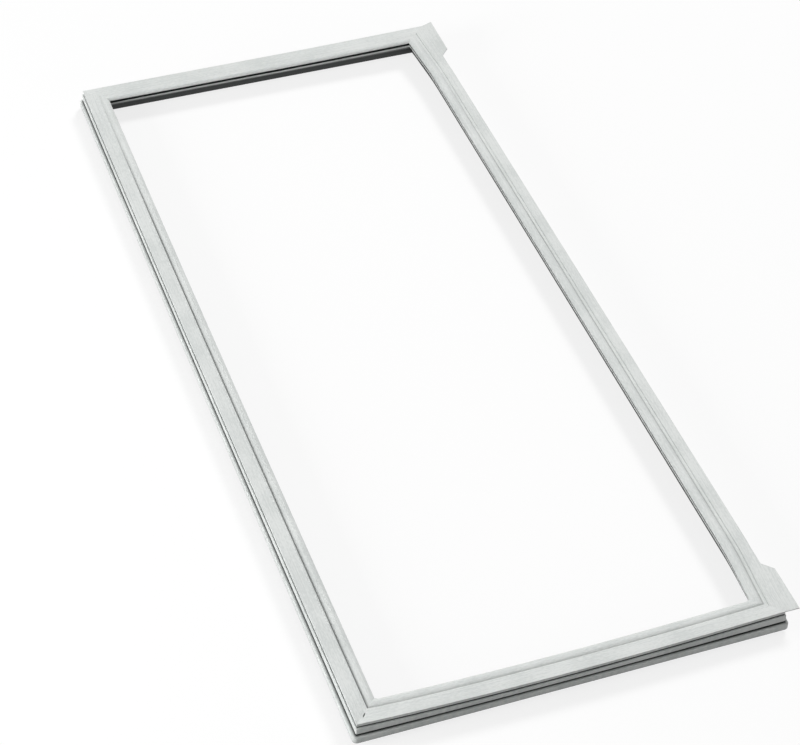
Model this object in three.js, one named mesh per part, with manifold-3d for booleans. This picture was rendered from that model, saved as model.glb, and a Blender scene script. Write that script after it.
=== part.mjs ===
import * as THREE from 'three';
import { mergeVertices } from 'three/addons/utils/BufferGeometryUtils.js';
import Module from 'manifold-3d';

// Magnetic door gasket of an upright refrigerator: four mitred lengths of one soft PVC extrusion,
// welded at the corners into a closed frame, with a flexible magnet strip in the pocket of each side.
// It lies with its sealing face up. Millimetres, +Z up, long sides along Y, hinge side at +X.

// Sealing face, measured between the outer edges of the magnet boxes
const faceWidth = 465;
const faceLength = 1102;
const magnetBandWidth = 18;
const faceSheet = 1.2;

// Magnet strips and the pocket around them
const magnetWidth = 10;
const magnetThickness = 2.4;
const magnetEndInset = 22;
const pocketClearance = 0.3;
const boxWall = 1;
const boxFloor = 0.9;

// Inner lip, hinged at a crease beside the magnet band
const lipWidth = 10;
const lipCrown = 4;
const lipShoulder = 8;
const lipDroop = 1;
const lipEdge = 0.8;
const creaseWidth = 0.9;
const creaseDepth = 0.6;

// Bellows between the magnet box and the base
const bellowsHeight = 8.5;
const bellowsOuterReach = 2;
const bellowsInnerReach = 25;
const bellowsInnerLean = 2.3;
const bellowsWall = 0.9;
const bellowsRound = 1.2;
const neckInset = 2.6;
const upperGroove = 0.9;
const lowerGroove = 0.8;

// Base with two lips that press on the door liner
const baseHeight = 7.7;
const baseWidth = 24;
const baseOuterReach = 5;
const basePlate = 1.4;
const baseLip = 1.3;
const baseRound = 2.6;
const baseNeckInset = 4.4;

// Dart that pushes into the groove of the door liner
const dartDrop = 5;
const dartStem = 2.4;
const dartTip = 1.8;
const headLength = 4.5;
const barbWidth = 6.6;
const barbEdge = 0.5;
const barbUndercut = 0.8;
const barbSlope = 2.7;
const barbPitch = 4.2;
const barbCount = 2;

// Fin along the hinge side, with an ear at each end
const finWidth = 5;
const earWidth = 11;
const earLength = 58;
const earChamfer = 11;

// Bleed holes: pocket to bellows, bellows to the open underside
const bleedHoleDiameter = 2.4;
const pocketBleedFromEnd = 16;
const bellowsBleedFromEnd = 45;

// Steps along each rounded outer corner and profile curve, and round each bleed hole
const cornerSteps = 6;
const curveSteps = 5;
const bleedHoleSteps = 12;
const mergeTolerance = 1e-4;

// Heights above the tip of the dart
const footZ = dartDrop;
const baseTopZ = footZ + baseHeight;
const plateZ = baseTopZ - basePlate;
const bellowsLowZ = baseTopZ + lowerGroove;
const bellowsTopZ = bellowsLowZ + bellowsHeight;
const boxLowZ = bellowsTopZ + upperGroove;
const pocketLowZ = boxLowZ + boxFloor;
const pocketHeight = magnetThickness + 2 * pocketClearance;
const pocketTopZ = pocketLowZ + pocketHeight;
const faceZ = pocketTopZ + faceSheet;

// Distances inward from the outer edge of the magnet box
const pocketWidth = magnetWidth + 2 * pocketClearance;
const boxInner = pocketWidth + 2 * boxWall;
const lipTip = magnetBandWidth + lipWidth;
const baseInner = baseWidth - baseOuterReach;
const baseNeckInner = baseInner - baseNeckInset;
const dartCentre = (baseInner - baseOuterReach) / 2;

const wasm = await Module();
wasm.setup();

const softPvc = new THREE.MeshStandardMaterial({ color: 0xd6dad8, roughness: 0.55, metalness: 0 });
const magnetRubber = new THREE.MeshStandardMaterial({ color: 0x34302c, roughness: 0.75, metalness: 0.1 });

// Half of the dart's outline on one side, from the base plate down to the tip
function dartSide(side) {
  const points = [[dartStem / 2, plateZ]];
  for (let barb = barbCount - 1; barb >= 0; barb--) {
    const tipZ = headLength + barb * barbPitch;
    points.push([dartStem / 2, tipZ - barbUndercut], [barbWidth / 2, tipZ], [barbWidth / 2, tipZ - barbEdge]);
    if (barb > 0) points.push([dartStem / 2, tipZ - barbEdge - barbSlope]);
  }
  points.push([dartTip / 2, 0]);
  return points.map(([half, z]) => [dartCentre + side * half, z]);
}

function lineAlong(shape, points) {
  for (const [u, z] of points) shape.lineTo(u, z);
}

// Cross-section of the extrusion: x is the distance inward from the magnet box, y is the height
function extrusionOutline() {
  const crown = magnetBandWidth + lipCrown;
  const lean = bellowsInnerReach - bellowsInnerLean;
  const shape = new THREE.Shape();
  shape.moveTo(0, faceZ);
  shape.lineTo(magnetBandWidth - creaseWidth, faceZ);
  shape.lineTo(magnetBandWidth - creaseWidth / 2, faceZ - creaseDepth);
  shape.quadraticCurveTo(magnetBandWidth + creaseWidth, faceZ, crown, faceZ);
  shape.quadraticCurveTo(magnetBandWidth + lipShoulder, faceZ, lipTip, faceZ - lipDroop);
  shape.lineTo(lipTip, faceZ - lipDroop - lipEdge);
  shape.quadraticCurveTo(crown, faceZ - faceSheet, magnetBandWidth, faceZ - faceSheet);
  lineAlong(shape, [
    [boxInner, faceZ - faceSheet],
    [boxInner, bellowsTopZ],
    [bellowsInnerReach - bellowsRound, bellowsTopZ],
  ]);
  shape.quadraticCurveTo(bellowsInnerReach, bellowsTopZ, bellowsInnerReach, bellowsTopZ - bellowsRound);
  shape.lineTo(lean, bellowsLowZ + bellowsRound);
  shape.quadraticCurveTo(lean, bellowsLowZ, lean - bellowsRound, bellowsLowZ);
  lineAlong(shape, [
    [baseNeckInner, bellowsLowZ],
    [baseNeckInner, baseTopZ],
    [baseInner - baseRound, baseTopZ],
  ]);
  shape.quadraticCurveTo(baseInner, baseTopZ, baseInner, baseTopZ - baseRound);
  lineAlong(shape, [[baseInner, footZ], [baseInner - baseLip, footZ], [baseInner - baseLip, plateZ]]);
  lineAlong(shape, dartSide(1));
  lineAlong(shape, dartSide(-1).reverse());
  lineAlong(shape, [
    [baseLip - baseOuterReach, plateZ],
    [baseLip - baseOuterReach, footZ],
    [-baseOuterReach, footZ],
    [-baseOuterReach, baseTopZ - baseRound],
  ]);
  shape.quadraticCurveTo(-baseOuterReach, baseTopZ, baseRound - baseOuterReach, baseTopZ);
  lineAlong(shape, [
    [neckInset, baseTopZ],
    [neckInset, bellowsLowZ],
    [bellowsRound - bellowsOuterReach, bellowsLowZ],
  ]);
  shape.quadraticCurveTo(-bellowsOuterReach, bellowsLowZ, -bellowsOuterReach, bellowsLowZ + bellowsRound);
  shape.lineTo(-bellowsOuterReach, bellowsTopZ - bellowsRound);
  shape.quadraticCurveTo(-bellowsOuterReach, bellowsTopZ, bellowsRound - bellowsOuterReach, bellowsTopZ);
  lineAlong(shape, [[neckInset, bellowsTopZ], [neckInset, boxLowZ], [0, boxLowZ]]);
  shape.closePath();
  return shape;
}

function pocketOutline() {
  return new THREE.Shape([
    new THREE.Vector2(boxWall, pocketLowZ),
    new THREE.Vector2(boxWall + pocketWidth, pocketLowZ),
    new THREE.Vector2(boxWall + pocketWidth, pocketTopZ),
    new THREE.Vector2(boxWall, pocketTopZ),
  ]);
}

// Air space of the bellows, with a narrow neck up to the magnet box and one down to the base plate
function airSpaceOutline() {
  const outer = bellowsWall - bellowsOuterReach;
  const innerTop = bellowsInnerReach - bellowsWall;
  const innerLow = innerTop - bellowsInnerLean;
  const ceilingZ = bellowsTopZ - bellowsWall;
  const floorZ = bellowsLowZ + bellowsWall;
  const neckOuter = neckInset + bellowsWall;
  const points = [
    [neckOuter, boxLowZ],
    [boxInner - bellowsWall, boxLowZ],
    [boxInner - bellowsWall, ceilingZ],
    [innerTop - bellowsRound, ceilingZ],
    [innerTop, ceilingZ - bellowsRound],
    [innerLow, floorZ + bellowsRound],
    [innerLow - bellowsRound, floorZ],
    [baseNeckInner - bellowsWall, floorZ],
    [baseNeckInner - bellowsWall, baseTopZ],
    [neckOuter, baseTopZ],
    [neckOuter, floorZ],
    [outer, floorZ],
    [outer, ceilingZ],
    [neckOuter, ceilingZ],
  ];
  return new THREE.Shape(points.map(([u, z]) => new THREE.Vector2(u, z)));
}

// One profile point carried round the frame: mitred corners inside the face edge, rounded outside it
function ringPoints(inward, z) {
  const mitre = Math.max(inward, 0);
  const radius = Math.max(-inward, 0);
  const ring = [];
  for (let corner = 0; corner < 4; corner++) {
    const sideX = corner === 0 || corner === 3 ? 1 : -1;
    const sideY = corner < 2 ? 1 : -1;
    for (let step = 0; step <= cornerSteps; step++) {
      const angle = (corner + step / cornerSteps) * (Math.PI / 2);
      const x = sideX * (faceWidth / 2 - mitre) + radius * Math.cos(angle);
      const y = sideY * (faceLength / 2 - mitre) + radius * Math.sin(angle);
      ring.push(x, y, z);
    }
  }
  return ring;
}

// Closed frame with the given cross-section on all four sides
function mitredFrame(outline) {
  const section = outline.getPoints(curveSteps);
  if (section[0].equals(section[section.length - 1])) section.pop();
  if (!THREE.ShapeUtils.isClockWise(section)) section.reverse();
  const positions = section.flatMap((point) => ringPoints(point.x, point.y));
  const stations = 4 * (cornerSteps + 1);
  const index = [];
  for (let row = 0; row < section.length; row++) {
    const nextRow = (row + 1) % section.length;
    for (let station = 0; station < stations; station++) {
      const nextStation = (station + 1) % stations;
      const a = row * stations + station;
      const b = row * stations + nextStation;
      const c = nextRow * stations + nextStation;
      const d = nextRow * stations + station;
      index.push(a, b, c, a, c, d);
    }
  }
  const geometry = new THREE.BufferGeometry();
  geometry.setAttribute('position', new THREE.Float32BufferAttribute(positions, 3));
  geometry.setIndex(index);
  return toSolid(geometry);
}

// Closed geometry to solid: corners that coincide are merged, and the flat triangles left there are dropped
function toSolid(geometry) {
  geometry.deleteAttribute('normal');
  geometry.deleteAttribute('uv');
  const merged = mergeVertices(geometry, mergeTolerance);
  const corners = merged.index.array;
  const kept = [];
  for (let i = 0; i < corners.length; i += 3) {
    const [a, b, c] = corners.subarray(i, i + 3);
    if (a !== b && b !== c && c !== a) kept.push(a, b, c);
  }
  const mesh = new wasm.Mesh({
    numProp: 3,
    vertProperties: new Float32Array(merged.attributes.position.array),
    triVerts: new Uint32Array(kept),
  });
  return new wasm.Manifold(mesh);
}

function toGeometry(solid) {
  const mesh = solid.getMesh();
  const geometry = new THREE.BufferGeometry();
  geometry.setAttribute('position', new THREE.BufferAttribute(new Float32Array(mesh.vertProperties), 3));
  geometry.setIndex(new THREE.BufferAttribute(new Uint32Array(mesh.triVerts), 1));
  const flat = geometry.toNonIndexed();
  flat.computeVertexNormals();
  return flat;
}

// Thin fin that continues the face past the hinge-side box, wider at the two ears
function hingeFin() {
  const edge = faceWidth / 2;
  const end = faceLength / 2;
  const outline = [
    [edge - boxWall / 2, -end],
    [edge + finWidth + earWidth, -end],
    [edge + finWidth + earWidth, earLength - end],
    [edge + finWidth, earLength + earChamfer - end],
    [edge + finWidth, end - earLength - earChamfer],
    [edge + finWidth + earWidth, end - earLength],
    [edge + finWidth + earWidth, end],
    [edge - boxWall / 2, end],
  ];
  const shape = new THREE.Shape(outline.map(([x, y]) => new THREE.Vector2(x, y)));
  const geometry = new THREE.ExtrudeGeometry(shape, { depth: faceSheet, bevelEnabled: false });
  geometry.translate(0, 0, faceZ - faceSheet);
  return toSolid(geometry);
}

// Upright bleed hole through one wall, at the same distance from each end of both long sides
function bleedHoles(inward, fromEnd, wallLowZ, wallTopZ) {
  const overshoot = pocketClearance / 2;
  const height = wallTopZ - wallLowZ + 2 * overshoot;
  const radius = bleedHoleDiameter / 2;
  const holes = [];
  for (const sideX of [-1, 1]) {
    for (const sideY of [-1, 1]) {
      const hole = new THREE.CylinderGeometry(radius, radius, height, bleedHoleSteps);
      hole.rotateX(Math.PI / 2);
      const x = sideX * (faceWidth / 2 - inward);
      const y = sideY * (faceLength / 2 - fromEnd);
      hole.translate(x, y, (wallLowZ + wallTopZ) / 2);
      holes.push(toSolid(hole));
    }
  }
  return holes;
}

function gasketFrame() {
  const pocketCentre = boxWall + pocketWidth / 2;
  const besideDart = (dartCentre + barbWidth / 2 + baseNeckInner - bellowsWall) / 2;
  const hollows = [
    mitredFrame(pocketOutline()),
    mitredFrame(airSpaceOutline()),
    ...bleedHoles(pocketCentre, pocketBleedFromEnd, boxLowZ, pocketLowZ),
    ...bleedHoles(besideDart, bellowsBleedFromEnd, plateZ, baseTopZ),
  ];
  let solid = mitredFrame(extrusionOutline()).add(hingeFin());
  for (const hollow of hollows) solid = solid.subtract(hollow);
  const mesh = new THREE.Mesh(toGeometry(solid), softPvc);
  mesh.name = 'gasket_frame';
  return mesh;
}

// Flat magnet strip in the pocket of one side, square cut and short of the mitres
function magnetStrip(name, alongY, side) {
  const run = (alongY ? faceLength : faceWidth) - 2 * magnetEndInset;
  const across = (alongY ? faceWidth : faceLength) / 2 - boxWall - pocketWidth / 2;
  const size = alongY ? [magnetWidth, run] : [run, magnetWidth];
  const mesh = new THREE.Mesh(new THREE.BoxGeometry(size[0], size[1], magnetThickness), magnetRubber.clone());
  mesh.name = name;
  mesh.position.set(alongY ? side * across : 0, alongY ? 0 : side * across, pocketLowZ + pocketHeight / 2);
  return mesh;
}

const gasket = new THREE.Group();
gasket.add(
  gasketFrame(),
  magnetStrip('magnet_strip_hinge', true, 1),
  magnetStrip('magnet_strip_latch', true, -1),
  magnetStrip('magnet_strip_top', false, 1),
  magnetStrip('magnet_strip_bottom', false, -1),
);

// The ears reach further than the base does on the latch side, so the frame moves over by half of that
const hingeReach = Math.max(finWidth + earWidth, baseOuterReach);
const latchReach = Math.max(baseOuterReach, bellowsOuterReach);
gasket.position.x = (latchReach - hingeReach) / 2;

export default gasket;
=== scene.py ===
import math

import bpy
from mathutils import Matrix, Vector


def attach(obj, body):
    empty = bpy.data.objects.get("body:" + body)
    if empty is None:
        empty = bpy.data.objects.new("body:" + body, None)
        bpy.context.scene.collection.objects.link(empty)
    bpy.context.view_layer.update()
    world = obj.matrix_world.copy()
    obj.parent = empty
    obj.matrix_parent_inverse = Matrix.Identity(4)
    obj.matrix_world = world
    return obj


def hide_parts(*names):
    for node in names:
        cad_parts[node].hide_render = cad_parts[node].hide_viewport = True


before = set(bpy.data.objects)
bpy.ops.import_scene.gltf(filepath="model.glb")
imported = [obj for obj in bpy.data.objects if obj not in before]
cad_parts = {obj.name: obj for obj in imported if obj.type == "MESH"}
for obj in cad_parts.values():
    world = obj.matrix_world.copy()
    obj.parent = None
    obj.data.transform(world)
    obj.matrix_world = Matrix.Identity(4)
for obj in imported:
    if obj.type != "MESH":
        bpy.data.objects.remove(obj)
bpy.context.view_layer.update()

# Refrigerator door gasket lying face up: a soft PVC extrusion, mitred and welded at the corners,
# with a magnet strip in each side. Sizes are millimetres here and metres in the meshes.
mm = 0.001
sealFaceZ = 28.0


# camera, at the angle of the photograph
photoSize = (800, 745)
cameraSizes = {
    "eye": (-0.7343, -1.9792, 1.8860),
    "aim": (-0.02825, -0.08448, 0.028),
    "rollDegrees": 1.4274,
    "focalPixels": 2423.4,
    "sensorWidth": 36.0,
}


def makeCamera(sizes):
    data = bpy.data.cameras.new("photoCamera")
    data.sensor_width = sizes["sensorWidth"]
    data.lens = sizes["focalPixels"] / max(photoSize) * sizes["sensorWidth"]
    camera = bpy.data.objects.new("photoCamera", data)
    bpy.context.scene.collection.objects.link(camera)
    eye = Vector(sizes["eye"])
    look = (Vector(sizes["aim"]) - eye).to_track_quat("-Z", "Y").to_matrix().to_4x4()
    roll = Matrix.Rotation(math.radians(sizes["rollDegrees"]), 4, "Z")
    camera.matrix_world = Matrix.Translation(eye) @ look @ roll
    bpy.context.scene.camera = camera


makeCamera(cameraSizes)
print("camera set")


def hexColour(code):
    channels = [int(code[i:i + 2], 16) / 255 for i in (1, 3, 5)]
    linear = [c / 12.92 if c <= 0.04045 else ((c + 0.055) / 1.055) ** 2.4 for c in channels]
    return (*linear, 1.0)


def addNode(tree, kind, inputs=None, **settings):
    # adds one node; an input is a value or a socket to link from
    node = tree.nodes.new(kind)
    for name, value in settings.items():
        setattr(node, name, value)
    for key, value in (inputs or {}).items():
        if isinstance(value, bpy.types.NodeSocket):
            tree.links.new(value, node.inputs[key])
        else:
            node.inputs[key].default_value = value
    return node


def newMaterial(name, constants):
    material = bpy.data.materials.new(name)
    material.use_nodes = True
    shader = material.node_tree.nodes["Principled BSDF"]
    for key, value in constants.items():
        shader.inputs[key].default_value = value
    return material, material.node_tree, shader


# Plasticised PVC, extruded: satin, with faint die lines along each side and an uneven skin. Painted shade
# darkens the grooves, the crease, the hinge fold, the foot's edge and the inner walls towards near black.
# Real die lines are a few tenths of a millimetre apart and the skin's grain is finer still; both are drawn
# coarser so that they show.
pvcFinish = {
    "colour": "#DDE0DE",
    "lineColour": "#CDD1CF",
    # painted shade: the near-black colour that the grooves, crease, fold, foot's edge and inner walls darken
    # towards
    "paintedShadeColour": "#2C2F2E",
    "dieLinePitch": 1.5,
    "dieLineRun": 90.0,
    "grainPitch": 1.3,
    "grainRun": 5.0,
    "mottle": 40.0,
    "bumpHeight": 0.06,
    "bumpStrength": 0.3,
    "spreadFrom": 1.25,
    "spreadTo": 1.72,
    "nickCentre": (-227.45, -541.9),
    "nickTurn": 53.1,
    "nickLength": 6.6,
    "nickWidth": 1.5,
    "nickReach": 0.01,
    "nickOuter": 1.1,
    "nickInner": 0.8,
    "nickColour": "#3A3E3C",
}


def makePvc(finish):
    material, tree, shader = newMaterial("extrudedSoftPvc", {"Roughness": 0.62, "IOR": 1.53})

    def attribute(name):
        return addNode(tree, "ShaderNodeAttribute", attribute_name=name).outputs["Fac"]

    def scaled(value, size):
        inputs = {0: value, 1: 1 / (size * mm)}
        return addNode(tree, "ShaderNodeMath", inputs, operation="MULTIPLY").outputs[0]

    def noiseAlong(pitch, run, detail):
        # noise stretched along the extrusion
        place = addNode(tree, "ShaderNodeCombineXYZ", {"X": scaled(across, pitch), "Y": scaled(along, run)})
        inputs = {"Vector": place.outputs[0], "Scale": 1.0, "Detail": detail}
        return addNode(tree, "ShaderNodeTexNoise", inputs).outputs["Fac"]

    across, along = attribute("across"), attribute("along")
    lines = noiseAlong(finish["dieLinePitch"], finish["dieLineRun"], 2.0)
    grain = noiseAlong(finish["grainPitch"], finish["grainRun"], 1.0)
    coords = addNode(tree, "ShaderNodeTexCoord").outputs["Object"]
    mottle = addNode(tree, "ShaderNodeTexNoise", {"Vector": coords, "Scale": 1 / (finish["mottle"] * mm)})
    both = addNode(tree, "ShaderNodeMath", {0: lines, 1: grain})
    tone = addNode(tree, "ShaderNodeMath", {0: both.outputs[0], 1: mottle.outputs["Fac"]})
    spread = addNode(tree, "ShaderNodeMapRange", {
        "Value": tone.outputs[0], "From Min": finish["spreadFrom"], "From Max": finish["spreadTo"],
    })
    skin = addNode(tree, "ShaderNodeMix", {
        "Factor": spread.outputs[0], 6: hexColour(finish["lineColour"]), 7: hexColour(finish["colour"]),
    }, data_type="RGBA")
    # painted shade: the skin is mixed towards near black by the painted-shade attribute
    colour = addNode(tree, "ShaderNodeMix", {
        "Factor": attribute("recess"), 6: skin.outputs[2], 7: hexColour(finish["paintedShadeColour"]),
    }, data_type="RGBA")
    # small nick left by the weld at one corner
    x, y = (value * mm for value in finish["nickCentre"])
    local = addNode(tree, "ShaderNodeMapping", {
        "Vector": coords, "Location": (x, y, 0), "Rotation": (0, 0, math.radians(finish["nickTurn"])),
        "Scale": (finish["nickLength"] / 2 * mm, finish["nickWidth"] / 2 * mm, finish["nickReach"]),
    }, vector_type="TEXTURE").outputs[0]
    faceLevel = sealFaceZ * mm / finish["nickReach"]
    local = addNode(tree, "ShaderNodeVectorMath", {
        0: local, 1: (0, 0, faceLevel),
    }, operation="SUBTRACT").outputs[0]
    away = addNode(tree, "ShaderNodeVectorMath", {0: local}, operation="LENGTH").outputs["Value"]
    nick = addNode(tree, "ShaderNodeMapRange", {
        "Value": away, "From Min": finish["nickOuter"], "From Max": finish["nickInner"],
    })
    colour = addNode(tree, "ShaderNodeMix", {
        "Factor": nick.outputs[0], 6: colour.outputs[2], 7: hexColour(finish["nickColour"]),
    }, data_type="RGBA")
    tree.links.new(colour.outputs[2], shader.inputs["Base Color"])
    bump = addNode(tree, "ShaderNodeBump", {
        "Height": both.outputs[0],
        "Strength": finish["bumpStrength"],
        "Distance": finish["bumpHeight"] * mm,
    })
    tree.links.new(bump.outputs["Normal"], shader.inputs["Normal"])
    return material


# Bonded ferrite strip, calendered: matt and dark brown, with a fine speckle of ferrite grains
magnetFinish = {"dark": "#2A2623", "light": "#453F39", "speckle": 0.8}


def makeMagnetRubber(finish):
    material, tree, shader = newMaterial("bondedFerriteRubber", {"Roughness": 0.78, "IOR": 1.5})
    coords = addNode(tree, "ShaderNodeTexCoord").outputs["Object"]
    speckle = addNode(tree, "ShaderNodeTexNoise", {"Vector": coords, "Scale": 1 / (finish["speckle"] * mm)})
    colour = addNode(tree, "ShaderNodeMix", {
        "Factor": speckle.outputs["Fac"],
        6: hexColour(finish["dark"]),
        7: hexColour(finish["light"]),
    }, data_type="RGBA")
    tree.links.new(colour.outputs[2], shader.inputs["Base Color"])
    return material


pvc = makePvc(pvcFinish)
magnetRubber = makeMagnetRubber(magnetFinish)
print("materials made")


# Cross-section of the seal. A corner is its distance inward from the outer edge of the magnet box,
# its height, its rounding, and its painted shade from 0 to 1, which darkens the skin there as shade would.
sealSizes = {
    "faceZ": sealFaceZ, "sheet": 1.2, "bandWidth": 18.0,
    "creaseWidth": 2.4, "creaseDepth": 1.5, "creaseFlat": 0.4, "creaseShade": 0.36, "creaseSpread": 0.62,
    "foldAt": 12.8, "foldHalf": 0.5, "foldDepth": 0.5, "foldShade": 0.14,
    "lipMid": 21.4, "lipWidth": 10.0, "lipCrown": 5.0, "lipDroop": 2.6, "lipEdge": 0.8, "lipUnder": 2.3,
    "lipRisePower": 2.6, "lipFallPower": 2.2,
    "boxLowZ": 22.9, "boxInner": 12.6, "boxWall": 1.0, "boxChamfer": 1.5,
    "pocketWidth": 10.6, "pocketLowZ": 23.8, "pocketTopZ": 26.8,
    "bellowsTopZ": 22.0, "bellowsLowZ": 13.5, "bellowsOuter": 1.5, "bellowsInner": 27.0,
    "bellowsLean": 4.3, "bellowsRise": 0.6, "bellowsLift": 0.9, "bellowsSag": 1.9, "bellowsRound": 1.2,
    "wall": 0.9, "neckInset": 5.0,
    "baseNeckInner": 14.6, "baseTopZ": 12.7, "plateZ": 11.3, "footZ": 5.0, "baseOuter": 5.0,
    "baseInner": 20.2, "baseLip": 1.3, "baseRound": 2.6, "baseShoulder": 3.6, "baseFall": 0.5,
    "dartCentre": 7.0, "dartStem": 2.4, "dartTip": 1.8, "headLength": 4.5,
    "barbWidth": 6.6, "barbEdge": 0.5, "barbUndercut": 0.8, "barbSlope": 2.7,
    "barbPitch": 4.2, "barbCount": 2,
    "flexRise": 3.0, "edgeRound": 0.3, "seamDepth": 0.12, "sharpDegrees": 32,
}


def bend(start, control, end, steps):
    points = []
    for k in range(1, steps + 1):
        t = k / steps
        ahead = (start[i] * (1 - t) ** 2 + control[i] * 2 * t * (1 - t) + end[i] * t ** 2 for i in (0, 1))
        points.append(tuple(ahead))
    return points


def roundedOutline(corners, steps=4):
    # closed outline, with each corner's rounding drawn as a short curve
    outline = []
    for i, (x, z, radius, *shade) in enumerate(corners):
        # the fourth number is painted shade
        paintedShadeAmount = shade[0] if shade else 0.0
        here = Vector((x, z))
        back = Vector(corners[i - 1][:2]) - here
        ahead = Vector(corners[(i + 1) % len(corners)][:2]) - here
        reach = min(radius, back.length * 0.49, ahead.length * 0.49)  # just under half of each edge
        if reach < 0.02:
            outline.append((x, z, paintedShadeAmount))
            continue
        start = here + back.normalized() * reach
        end = here + ahead.normalized() * reach
        outline += [(u, v, paintedShadeAmount) for u, v in [tuple(start), *bend(start, here, end, steps)]]
    return outline


def dartSide(s, side):
    half = s["dartStem"] / 2
    points = [(half, s["plateZ"], 0.6)]
    for barb in reversed(range(s["barbCount"])):
        tipZ = s["headLength"] + barb * s["barbPitch"]
        points += [(half, tipZ - s["barbUndercut"], 0.2), (s["barbWidth"] / 2, tipZ, 0.2),
                   (s["barbWidth"] / 2, tipZ - s["barbEdge"], 0.2)]
        if barb:
            points.append((half, tipZ - s["barbEdge"] - s["barbSlope"], 0.3))
    points.append((s["dartTip"] / 2, 0, 0.2))
    return [(s["dartCentre"] + side * u, z, r) for u, z, r in points]


def faceSide(s):
    # band, crease and cushioned lip, from the outer edge to the tip of the lip
    faceZ, band, fold, middle = s["faceZ"], s["bandWidth"], s["foldAt"], s["lipMid"]
    tip, crown = band + s["lipWidth"], band + s["lipCrown"]
    bottom = band - s["creaseWidth"] * s["creaseFlat"]
    points = [(0, faceZ, 0)] + [(fold + step, faceZ, 0) for step in (-s["foldHalf"], 0, s["foldHalf"])]
    points.append((band - s["creaseWidth"], faceZ, 0.5))
    # painted shade at the bottom of the crease, fading out over the rise of the lip
    points.append((bottom, faceZ - s["creaseDepth"], 0.3, s["creaseShade"]))
    for k in range(1, 9):
        u = bottom + (middle - bottom) * k / 8
        shade = s["creaseShade"] * s["creaseSpread"] * (1 - k / 8) ** 2
        fall = ((crown - u) / (crown - bottom)) ** s["lipRisePower"]
        points.append((u, faceZ - s["creaseDepth"] * fall, 0, shade))
    points.append((crown, faceZ, 0))
    for k in range(1, 13):
        share = k / 12
        droop = s["lipDroop"] * share ** s["lipFallPower"]
        points.append((crown + (tip - crown) * share, faceZ - droop, 0))
    return points + [(tip, faceZ - s["lipDroop"] - s["lipEdge"], s["edgeRound"])]


def innerSide(s):
    # underside of the lip, then the bellows and the base, down to the foot, with painted shade under the lip
    # and on the inner walls
    faceZ, edge, box, low = s["faceZ"], s["edgeRound"], s["boxInner"], s["bellowsLowZ"]
    crown, foot = s["bandWidth"] + s["lipCrown"], s["bellowsInner"] - s["bellowsLean"]
    return [
        (crown, faceZ - s["lipUnder"], 1.5, 1),
        (box, faceZ - s["lipUnder"], 0.6, 1),
        (box, s["bellowsTopZ"], 0.6, 1),
        (s["bellowsInner"] - 1.3, s["bellowsTopZ"] - s["bellowsSag"] * 0.9, 0, 1),
        (s["bellowsInner"], s["bellowsTopZ"] - s["bellowsSag"], 0.9),
        (s["bellowsInner"] - 0.6, s["bellowsTopZ"] - s["bellowsSag"] - 1.5, 0),
        (s["bellowsInner"] - 0.9, s["bellowsTopZ"] - s["bellowsSag"] - 2.2, 0, 0.7),
        (foot + 0.3, low + 1.6, 0, 0.8),
        (foot, low, s["bellowsRound"], 0.95),
        (foot - 2, low, 0, 1),
        (s["baseNeckInner"], low, 0.2, 1),
        (s["baseNeckInner"], s["baseTopZ"], 0.2, 1),
        (s["baseInner"], s["baseTopZ"], s["baseRound"], 1),
        (s["baseInner"], s["footZ"], edge, 1),
        (s["baseInner"] - s["baseLip"], s["footZ"], edge),
        (s["baseInner"] - s["baseLip"], s["plateZ"], 0.8),
    ]


def outerSide(s):
    # base, lower groove, bellows, upper groove and magnet box, from the foot up to the fin, with painted
    # shade in both grooves and a painted contact shadow along the foot's outer edge
    faceZ, edge, neck, out = s["faceZ"], s["edgeRound"], s["neckInset"], -s["bellowsOuter"]
    shoulder = s["baseTopZ"] - s["baseFall"]
    topCorner, lowCorner = s["bellowsTopZ"] + s["bellowsRise"], s["bellowsLowZ"] + s["bellowsLift"]
    return [
        (s["baseLip"] - s["baseOuter"], s["plateZ"], 0.8),
        (s["baseLip"] - s["baseOuter"], s["footZ"], edge),
        (-s["baseOuter"], s["footZ"], edge, 0.8),
        (-s["baseOuter"], s["footZ"] + 1.2, 0),
        (-s["baseOuter"], shoulder, s["baseShoulder"]),
        (out + 0.3, shoulder + 0.1, 0, 1),
        (neck, s["baseTopZ"], 0.2, 1),
        (neck, s["bellowsLowZ"], 0.2, 1),
        (0.3, lowCorner - 0.3, 0, 1),
        (out, lowCorner, s["bellowsRound"]),
        (out, topCorner, s["bellowsRound"]),
        (0.9, s["bellowsTopZ"] + s["bellowsRise"] * 0.6, 0, 1),
        (neck, s["bellowsTopZ"], 0.2, 1),
        (neck, s["boxLowZ"], 0.2, 1),
        (s["boxChamfer"], s["boxLowZ"], 0.2, 1),
        (0, s["boxLowZ"] + s["boxChamfer"], 0.3),
        (0, faceZ - s["sheet"], 0),
    ]


def sealOutline(s):
    corners = [*faceSide(s), *innerSide(s), *dartSide(s, 1), *reversed(dartSide(s, -1)), *outerSide(s)]
    # edge of the hinge-side fin: its points stand just outside the box and are carried out along that side
    rows = ((-0.02, 1.0), (-0.16, 0.8), (-0.2, 0.5), (-0.16, 0.2), (-0.02, 0.0))
    return roundedOutline(corners) + [(u, s["faceZ"] - share * s["sheet"], 0.0) for u, share in rows]


def pocketOutline(s):
    left, right = s["boxWall"], s["boxWall"] + s["pocketWidth"]
    low, top = s["pocketLowZ"], s["pocketTopZ"]
    return [(left, low, 0), (right, low, 0), (right, top, 0), (left, top, 0)]


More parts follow.
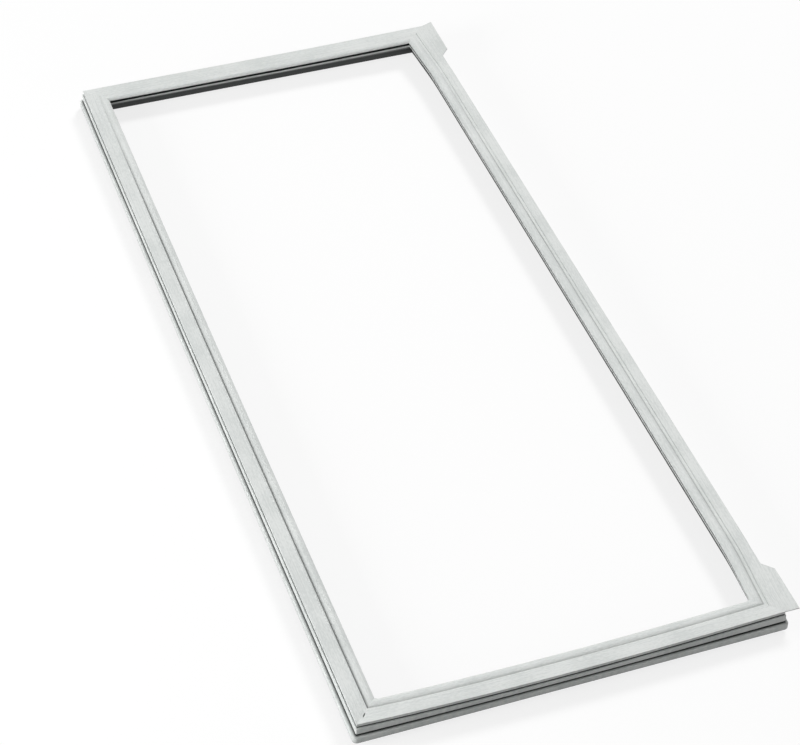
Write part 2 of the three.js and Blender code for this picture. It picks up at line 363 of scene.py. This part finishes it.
def airSpaceOutline(s):
    wall, innerTop = s["wall"], s["bellowsInner"] - s["wall"]
    ceiling, floor = s["bellowsTopZ"] - wall, s["bellowsLowZ"] + wall
    sagged = ceiling - s["bellowsSag"]
    neck, outer, low = s["neckInset"] + wall, wall - s["bellowsOuter"], s["baseNeckInner"] - wall
    corners = [
        (neck, ceiling, 0), (outer, ceiling, 0.6), (outer, floor + wall, 0.6), (neck, floor, 0),
        (neck, s["baseTopZ"], 0), (low, s["baseTopZ"], 0), (low, floor, 0),
        (innerTop - s["bellowsLean"], floor, 0.8), (innerTop, sagged, 0.8),
        (s["boxInner"] - wall, ceiling, 0), (s["boxInner"] - wall, s["boxLowZ"], 0), (neck, s["boxLowZ"], 0),
    ]
    return roundedOutline(corners, steps=2)


def sectionCurve(name, outlines):
    # the painted shade travels in the third coordinate, which the sweep doesn't use as a place
    curve = bpy.data.curves.new(name, "CURVE")
    curve.dimensions = "3D"
    for outline in outlines:
        spline = curve.splines.new("POLY")
        spline.points.add(len(outline) - 1)
        for point, (x, z, paintedShadeAmount) in zip(spline.points, outline):
            point.co = (x * mm, z * mm, paintedShadeAmount * mm, 1)
        spline.use_cyclic_u = True
    return bpy.data.objects.new(name, curve)


# Route of the extrusion round the frame, in stations. The sides lie free, so they bow out a little
# between the welded corners; the base bows less than the face, because the bellows give.
routeSizes = {
    "faceWidth": 465.0, "faceLength": 1102.0, "shiftX": -5.5,
    "step": 12.0, "cornerSteps": 10, "mitreClear": 31.0, "seamHalf": 0.6,
    "fin": 5.0, "ear": 11.0, "earLength": 58.0, "earChamfer": 11.0,
    "farEarLift": 4.2, "farEarPull": 3.0, "farEarCurl": 1.3,
    "farCornerLift": 2.4, "farCornerRun": 70.0, "farTopShare": 0.42, "farLiftPower": 1.4,
    "bowTop": {"top": 0.3, "latch": 1.5, "bottom": 4.8, "hinge": 5.5},
    "bowBase": {"top": 0.0, "latch": 0.8, "bottom": 0.2, "hinge": 4.2},
    "hingeBowRun": 110.0, "bowSkew": 0.87, "bowPower": 1.15,
    "creaseRun": 320.0, "creaseFar": {"latch": 0.15, "hinge": 0.2},
    "crease": {"top": 0.1, "latch": 1.2, "bottom": 0.9, "hinge": 0.5},
    # painted shade in the crease, scaled side by side
    "soil": {"top": 0.1, "latch": 2.0, "bottom": 0.9, "hinge": 1.1},
}
sideNames = ("top", "latch", "bottom", "hinge")


def smoothStep(t):
    t = min(max(t, 0.0), 1.0)
    return t * t * (3 - 2 * t)


def bowShare(side, run, length):
    # share of the full bow at a distance along the side
    if side == "hinge":
        return smoothStep(min(run, length - run) / routeSizes["hingeBowRun"])
    t = (run / length) ** routeSizes["bowSkew"]
    return (4 * t * (1 - t)) ** routeSizes["bowPower"]


def finReach(r, run, length):
    # width of the hinge-side fin: ears at both ends, cut back at a slant between them
    nearest = min(run, length - run)
    if nearest <= r["earLength"]:
        return r["fin"] + r["ear"]
    if nearest < r["earLength"] + r["earChamfer"]:
        return r["fin"] + r["ear"] * (1 - (nearest - r["earLength"]) / r["earChamfer"])
    return r["fin"]


def farLift(r, name, run, length):
    # the far corner on the hinge side curls up a little, and the top side with it
    if name == "top":
        return r["farCornerLift"] * max(1 - run / (r["farTopShare"] * length), 0) ** r["farLiftPower"]
    if name == "hinge":
        return r["farCornerLift"] * max(1 - (length - run) / r["farCornerRun"], 0) ** r["farLiftPower"]
    return 0


def creaseFade(r, name, run, length):
    # the crease runs out towards the two far corners
    if name not in r["creaseFar"]:
        return 1
    far, away = r["creaseFar"][name], run if name == "latch" else length - run
    return far + (1 - far) * smoothStep(away / r["creaseRun"])


def station(r, side, cornerA, run, length, mitre, arc, seam=0.0):
    normal = Vector((math.cos(math.radians(90 * (side + 1))), math.sin(math.radians(90 * (side + 1))), 0))
    forward = Vector((-normal.y, normal.x, 0))
    name = sideNames[side]
    share = bowShare(name, run, length)
    bow = r["bowTop"][name] * share
    fin = Vector()
    if name == "hinge":
        curl = max(1 - (length - run) / (r["earLength"] * r["farEarCurl"]), 0)
        fin = normal * max(finReach(r, run, length) - bow - r["farEarPull"] * curl, 0)
        fin.z = r["farEarLift"] * curl
    rail = cornerA + forward * run
    fade = creaseFade(r, name, run, length)
    return {
        "rail": rail, "mitre": mitre, "arc": arc, "fin": fin, "seam": seam,
        "bowTop": normal * bow + Vector((0, 0, farLift(r, name, run, length))),
        "bowBase": normal * r["bowBase"][name] * share,
        "along": rail.x if side in (0, 2) else rail.y, "fold": 1.0 if name == "hinge" else 0.0,
        # the crease's painted shade fades out towards the far corners together with the crease
        "crease": r["crease"][name] * fade, "soil": r["soil"][name] * fade,
    }


def corner(r, index):
    signX = 1 if index % 4 in (0, 3) else -1
    signY = 1 if index % 4 in (0, 1) else -1
    place = Vector((signX * r["faceWidth"] / 2, signY * r["faceLength"] / 2, 0))
    return place, Vector((signX, signY, 0))


def frameRoute(r):
    stations = []
    for side in range(4):
        place, diagonal = corner(r, side)
        nextPlace, nextDiagonal = corner(r, side + 1)
        length = (nextPlace - place).length
        angle = 90 * (side + 1)
        normal = Vector((math.cos(math.radians(angle)), math.sin(math.radians(angle)), 0))
        for k in range(r["cornerSteps"] + 1):
            turn = math.radians(angle - 90 + 90 * k / r["cornerSteps"])
            arc = Vector((math.cos(turn), math.sin(turn), 0))
            bare = station(r, side, place, 0, length, diagonal, arc, seam=1.0)
            bare["fin"] = Vector()
            stations.append(bare)
        if sideNames[side] == "hinge":
            stations.append(station(r, side, place, 0, length, diagonal, normal, seam=1.0))
        stations.append(station(r, side, place, r["seamHalf"], length, diagonal, normal))
        runs = sideRuns(r, side, length, r["mitreClear"])
        stations += [station(r, side, place, run, length, normal, normal) for run in runs]
        stations.append(station(r, side, place, length - r["seamHalf"], length, nextDiagonal, normal))
        if sideNames[side] == "hinge":
            stations.append(station(r, side, place, length, length, nextDiagonal, normal, seam=1.0))
    return stations


def sideRuns(r, side, length, endGap):
    count = round((length - 2 * endGap) / r["step"])
    runs = [endGap + (length - 2 * endGap) * k / count for k in range(count + 1)]
    if sideNames[side] == "hinge":
        ends = [r["earLength"], r["earLength"] + 0.01, r["earLength"] + r["earChamfer"]]
        marks = ends + [length - end for end in ends]
        runs = [run for run in runs if min(abs(run - mark) for mark in marks) > 2.0] + marks
    return sorted(runs)


def routeMesh(name, stations, closed):
    mesh = bpy.data.meshes.new(name)
    count = len(stations)
    edges = [(i, (i + 1) % count) for i in range(count if closed else count - 1)]
    shift = Vector((routeSizes["shiftX"] * mm, 0, 0))
    mesh.from_pydata([stop["rail"] * mm + shift for stop in stations], edges, [])
    for key in ("rail", "mitre", "arc", "fin", "bowTop", "bowBase"):
        scale = 1.0 if key in ("mitre", "arc") else mm
        offset = shift if key == "rail" else Vector()
        attribute = mesh.attributes.new(key, "FLOAT_VECTOR", "POINT")
        for item, stop in zip(attribute.data, stations):
            item.vector = stop[key] * scale + offset
    # one of these is the per-side scale of the crease's painted shade
    for key, scale in (("seam", 1.0), ("fold", 1.0), ("crease", 1.0), ("soil", 1.0), ("along", mm)):
        attribute = mesh.attributes.new(key, "FLOAT", "POINT")
        for item, stop in zip(attribute.data, stations):
            item.value = stop[key] * scale
    return mesh


def makeSweepTree():
    # carries a cross-section along a route: mitred inside the box's outer edge, rounded outside it
    tree = bpy.data.node_groups.new("mitredSweep", "GeometryNodeTree")
    tree.interface.new_socket("Geometry", in_out="INPUT", socket_type="NodeSocketGeometry")
    tree.interface.new_socket("Section", in_out="INPUT", socket_type="NodeSocketObject")
    for size in ("Fin Height", "Flex Low", "Flex High", "Seam Depth", "Face Height",
                 "Crease From", "Crease To", "Fold At", "Fold Depth", "Fold Shade"):
        tree.interface.new_socket(size, in_out="INPUT", socket_type="NodeSocketFloat")
    tree.interface.new_socket("Material", in_out="INPUT", socket_type="NodeSocketMaterial")
    tree.interface.new_socket("Geometry", in_out="OUTPUT", socket_type="NodeSocketGeometry")
    given = addNode(tree, "NodeGroupInput").outputs

    def named(name, kind="FLOAT_VECTOR"):
        return addNode(tree, "GeometryNodeInputNamedAttribute", {"Name": name}, data_type=kind).outputs[0]

    def calc(operation, a, b):
        return addNode(tree, "ShaderNodeMath", {0: a, 1: b}, operation=operation).outputs[0]

    def scaled(vector, factor):
        inputs = {0: vector, "Scale": factor}
        return addNode(tree, "ShaderNodeVectorMath", inputs, operation="SCALE").outputs[0]

    def added(a, b):
        return addNode(tree, "ShaderNodeVectorMath", {0: a, 1: b}, operation="ADD").outputs[0]

    profile = addNode(tree, "GeometryNodeObjectInfo", {"Object": given["Section"]}).outputs["Geometry"]
    position = addNode(tree, "GeometryNodeInputPosition").outputs[0]
    profile = addNode(tree, "GeometryNodeStoreNamedAttribute", {
        "Geometry": profile, "Name": "section", "Value": position,
    }, data_type="FLOAT_VECTOR", domain="POINT").outputs[0]
    route = addNode(tree, "GeometryNodeMeshToCurve", {"Mesh": given["Geometry"]}).outputs[0]
    swept = addNode(tree, "GeometryNodeCurveToMesh", {
        "Curve": route, "Profile Curve": profile, "Fill Caps": True,
    }).outputs[0]

    section = addNode(tree, "ShaderNodeSeparateXYZ", {0: named("section")}).outputs
    inward, height = section[0], section[1]
    mitred = scaled(named("mitre"), calc("MULTIPLY", calc("MAXIMUM", inward, 0.0), -1.0))
    outside = calc("MAXIMUM", calc("MULTIPLY", inward, -1.0), 0.0)
    turned = scaled(named("arc"), outside)
    onTop = calc("GREATER_THAN", height, given["Fin Height"])
    onFin = calc("MULTIPLY", onTop, calc("LESS_THAN", inward, -0.01 * mm))
    finned = scaled(named("fin"), onFin)
    reach = addNode(tree, "ShaderNodeVectorMath", {0: named("fin")}, operation="LENGTH").outputs["Value"]
    flex = addNode(tree, "ShaderNodeMapRange", {
        "Value": height, "From Min": given["Flex Low"], "From Max": given["Flex High"],
    }, interpolation_type="SMOOTHSTEP").outputs[0]
    stiff = calc("SUBTRACT", 1.0, flex)
    bowed = added(scaled(named("bowTop"), flex), scaled(named("bowBase"), stiff))
    dip = calc("MULTIPLY", calc("MULTIPLY", named("seam", "FLOAT"), onTop), given["Seam Depth"])
    atFold = calc("LESS_THAN", calc("ABSOLUTE", calc("SUBTRACT", inward, given["Fold At"]), 0.0), 0.2 * mm)
    onFold = calc("MULTIPLY", calc("MULTIPLY", named("fold", "FLOAT"), onTop), atFold)
    dip = calc("ADD", dip, calc("MULTIPLY", onFold, given["Fold Depth"]))
    inCrease = calc("MULTIPLY", calc("GREATER_THAN", inward, given["Crease From"]),
                     calc("LESS_THAN", inward, given["Crease To"]))
    inCrease = calc("MULTIPLY", inCrease, onTop)
    shallow = calc("MULTIPLY", inCrease, calc("SUBTRACT", 1.0, named("crease", "FLOAT")))
    level = calc("ADD", height, calc("MULTIPLY", shallow, calc("SUBTRACT", given["Face Height"], height)))
    # painted shade: in the crease the section's shade is scaled side by side, and the hinge fold gets a line
    # of painted shade
    creaseShadeCut = calc("MULTIPLY", inCrease, calc("SUBTRACT", 1.0, named("soil", "FLOAT")))
    groove = calc("MULTIPLY", calc("DIVIDE", section[2], mm), calc("SUBTRACT", 1.0, creaseShadeCut))
    up = addNode(tree, "ShaderNodeCombineXYZ", {"Z": calc("SUBTRACT", level, dip)}).outputs[0]
    placed = added(added(added(named("rail"), mitred), added(turned, finned)), added(bowed, up))
    swept = addNode(tree, "GeometryNodeSetPosition", {"Geometry": swept, "Position": placed}).outputs[0]
    across = calc("SUBTRACT", inward, calc("MULTIPLY", onFin, reach))
    swept = addNode(tree, "GeometryNodeStoreNamedAttribute", {
        "Geometry": swept, "Name": "across", "Value": across,
    }, data_type="FLOAT", domain="POINT").outputs[0]
    # stores the painted shade that darkens the skin
    swept = addNode(tree, "GeometryNodeStoreNamedAttribute", {
        "Geometry": swept, "Name": "recess",
        "Value": calc("ADD", groove, calc("MULTIPLY", onFold, given["Fold Shade"])),
    }, data_type="FLOAT", domain="POINT").outputs[0]
    merged = addNode(tree, "GeometryNodeMergeByDistance", {"Geometry": swept, "Distance": 0.004 * mm})
    smooth = addNode(tree, "GeometryNodeSetShadeSmooth", {
        "Geometry": merged.outputs[0], "Shade Smooth": True,
    })
    real = addNode(tree, "GeometryNodeRealizeInstances", {"Geometry": smooth.outputs[0]})
    dressed = addNode(tree, "GeometryNodeSetMaterial", {
        "Geometry": real.outputs[0], "Material": given["Material"],
    })
    addNode(tree, "NodeGroupOutput", {0: dressed.outputs[0]})
    return tree


def sweep(name, tree, route, section, values):
    # runs the tree on the route and keeps the result as a plain mesh
    maker = bpy.data.objects.new(name + "Route", route)
    bpy.context.scene.collection.objects.link(maker)
    modifier = maker.modifiers.new("sweep", "NODES")
    modifier.node_group = tree
    sockets = {item.name: item.identifier for item in tree.interface.items_tree if item.in_out == "INPUT"}
    for key, value in {"Section": section, **values}.items():
        modifier[sockets[key]] = value
    evaluated = maker.evaluated_get(bpy.context.evaluated_depsgraph_get())
    mesh = bpy.data.meshes.new_from_object(evaluated)
    mesh.name = name
    maker.modifiers.remove(modifier)
    bpy.data.objects.remove(maker)
    piece = bpy.data.objects.new(name, mesh)
    bpy.context.scene.collection.objects.link(piece)
    return piece


def signedVolume(mesh):
    mesh.calc_loop_triangles()
    corners = [vertex.co for vertex in mesh.vertices]
    return sum(corners[a].dot(corners[b].cross(corners[c])) for a, b, c in
               (triangle.vertices for triangle in mesh.loop_triangles)) / 6


def finishMesh(mesh, sharpDegrees):
    # faces outwards, and edges sharper than the given angle stay crisp
    if signedVolume(mesh) < 0:
        mesh.flip_normals()
    mesh.set_sharp_from_angle(angle=math.radians(sharpDegrees))


def makeSeal(tree, s, r):
    section = sectionCurve("sealSection", [sealOutline(s), pocketOutline(s), airSpaceOutline(s)])
    route = routeMesh("sealRoute", frameRoute(r), closed=True)
    values = {
        "Fin Height": (s["faceZ"] - s["sheet"] * 1.5) * mm, "Flex Low": (s["footZ"] + s["flexRise"]) * mm,
        "Flex High": s["boxLowZ"] * mm, "Seam Depth": s["seamDepth"] * mm, "Face Height": s["faceZ"] * mm,
        "Crease From": (s["bandWidth"] - s["creaseWidth"] - 0.6) * mm,
        "Crease To": (s["bandWidth"] + s["lipCrown"]) * mm, "Fold At": s["foldAt"] * mm,
        "Fold Depth": s["foldDepth"] * mm, "Fold Shade": s["foldShade"], "Material": pvc,
    }
    piece = sweep("sealBody", tree, route, section, values)
    finishMesh(piece.data, s["sharpDegrees"])
    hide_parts("gasket_frame")
    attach(piece, "root")
    return piece


magnetSizes = {
    "width": 10.0, "thickness": 2.4, "inset": 1.3, "lowZ": 24.1, "endInset": 22.0, "edgeRound": 0.3,
}


def makeMagnets(tree, m, s, r):
    left, right, low, top = m["inset"], m["inset"] + m["width"], m["lowZ"], m["lowZ"] + m["thickness"]
    corners = [(left, low), (right, low), (right, top), (left, top)]
    outline = roundedOutline([(x, z, m["edgeRound"]) for x, z in corners])
    section = sectionCurve("magnetSection", [outline])
    for side, name in enumerate(sideNames):
        place, _ = corner(r, side)
        length = (corner(r, side + 1)[0] - place).length
        angle = math.radians(90 * (side + 1))
        normal = Vector((math.cos(angle), math.sin(angle), 0))
        runs = sideRuns(r, side, length, m["endInset"])
        stations = [station(r, side, place, run, length, normal, normal) for run in runs]
        values = {
            "Fin Height": 1.0,  # above the whole section: a strip has no fin, crease or fold
            "Flex Low": (s["footZ"] + s["flexRise"]) * mm, "Flex High": s["boxLowZ"] * mm,
            "Material": magnetRubber,
        }
        route = routeMesh("magnetRoute", stations, closed=False)
        piece = sweep("magnetStrip" + name.capitalize(), tree, route, section, values)
        finishMesh(piece.data, s["sharpDegrees"])
        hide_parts("magnet_strip_" + name)
        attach(piece, "root")


sweepTree = makeSweepTree()
seal = makeSeal(sweepTree, sealSizes, routeSizes)
print("seal body swept,", len(seal.data.polygons), "faces")
makeMagnets(sweepTree, magnetSizes, sealSizes, routeSizes)
print("magnet strips swept")


# floor and light
studioSizes = {
    "floor": 12.0,
    "clear": 0.0002,
    "white": "#FFFFFF",
    "bounceColour": "#A0A0A0",
    "cameraLift": 0.8,  # share of plain white in the floor that the camera sees; the rest keeps the shadow
    "ambient": 0.2,
}
# each lamp's place and aim, in metres, its size and its power
lamps = {
    "keyLamp": ((6.2, 6.0, 8.4), (0, 0, 0), 3.0, 1040),
    "sideLamp": ((-2.6, -0.2, 0.7), (0, 0, 0), 1.2, 62),
    "frontLamp": ((1.2, -4.2, 1.2), (0, -0.3, 0), 1.6, 18),
}


def seenRays(tree):
    # 1 for the rays that see the white background, and 0 for those that carry light to the object
    rays = addNode(tree, "ShaderNodeLightPath").outputs
    seen = rays["Is Camera Ray"]
    for ray in ("Is Glossy Ray", "Is Transmission Ray"):
        seen = addNode(tree, "ShaderNodeMath", {0: seen, 1: rays[ray]}, operation="MAXIMUM").outputs[0]
    return seen


def makeFloor(sizes):
    half, low = sizes["floor"] / 2, -sizes["clear"]
    mesh = bpy.data.meshes.new("studioFloor")
    corners = [(-half, -half, low), (half, -half, low), (half, half, low), (-half, half, low)]
    mesh.from_pydata(corners, [], [(0, 1, 2, 3)])
    floor = bpy.data.objects.new("studioFloor", mesh)
    bpy.context.scene.collection.objects.link(floor)
    paper = {"Base Color": hexColour(sizes["white"]), "Roughness": 0.9}
    material, tree, shader = newMaterial("paperFloor", paper)
    bounce = addNode(tree, "ShaderNodeBsdfDiffuse", {"Color": hexColour(sizes["bounceColour"])})
    white = addNode(tree, "ShaderNodeEmission", {"Color": hexColour(sizes["white"]), "Strength": 1.0})
    lifted = addNode(tree, "ShaderNodeMixShader", {
        0: sizes["cameraLift"], 1: shader.outputs[0], 2: white.outputs[0],
    })
    mixed = addNode(tree, "ShaderNodeMixShader", {
        0: seenRays(tree), 1: bounce.outputs[0], 2: lifted.outputs[0],
    })
    tree.links.new(mixed.outputs[0], tree.nodes["Material Output"].inputs["Surface"])
    mesh.materials.append(material)


def makeLamp(name, place, aim, size, power):
    data = bpy.data.lights.new(name, "AREA")
    data.shape = "SQUARE"
    data.size = size
    data.energy = power
    lamp = bpy.data.objects.new(name, data)
    lamp.location = place
    lamp.rotation_euler = (Vector(aim) - Vector(place)).to_track_quat("-Z", "Y").to_euler()
    bpy.context.scene.collection.objects.link(lamp)


def makeWorld(sizes):
    world = bpy.data.worlds.new("studioWorld")
    world.use_nodes = True
    tree = world.node_tree
    background = tree.nodes["Background"]
    background.inputs["Color"].default_value = hexColour(sizes["white"])
    background.inputs["Strength"].default_value = sizes["ambient"]
    white = addNode(tree, "ShaderNodeBackground", {"Color": hexColour(sizes["white"]), "Strength": 1.0})
    mixed = addNode(tree, "ShaderNodeMixShader", {
        0: seenRays(tree), 1: background.outputs[0], 2: white.outputs[0],
    })
    tree.links.new(mixed.outputs[0], tree.nodes["World Output"].inputs["Surface"])
    bpy.context.scene.world = world


makeFloor(studioSizes)
for name, (place, aim, size, power) in lamps.items():
    makeLamp(name, place, aim, size, power)
makeWorld(studioSizes)
bpy.context.scene.view_settings.view_transform = "Standard"
print("studio lit")
